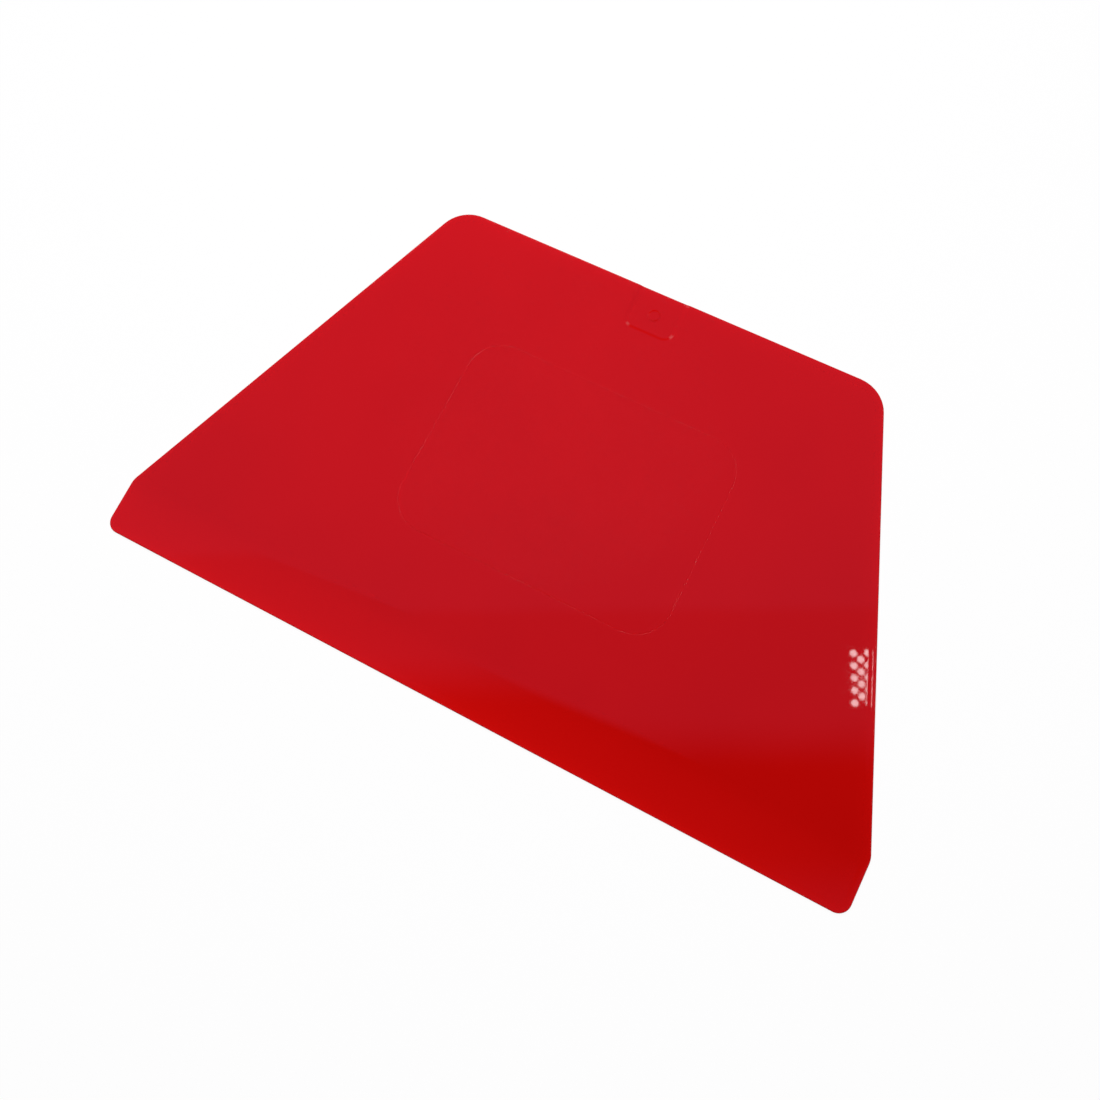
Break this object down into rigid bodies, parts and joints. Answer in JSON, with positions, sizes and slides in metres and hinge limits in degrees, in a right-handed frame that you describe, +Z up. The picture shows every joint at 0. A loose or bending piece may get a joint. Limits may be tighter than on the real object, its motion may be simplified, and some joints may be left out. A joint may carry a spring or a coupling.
{
  "type": "dough scraper",
  "caption": "Flat trapezoidal plastic dough scraper with a long tapered working edge, square ends, slanted sides and a shorter rounded grip edge, for cutting, lifting and scraping dough.",
  "frame": {"origin": "on the underside, below the centre of the bounding box", "axes": "+X along the working edge, +Y from the working edge to the grip edge, +Z up out of the upper face"},
  "size_m": [0.216, 0.128, 0.0018],
  "materials": {
    "red_plastic": "glossy moulded polypropylene, faintly translucent at the thin edges"
  },
  "bodies": {
    "root": {"scraper_plate": "red_plastic"}
  },
  "joints": []
}
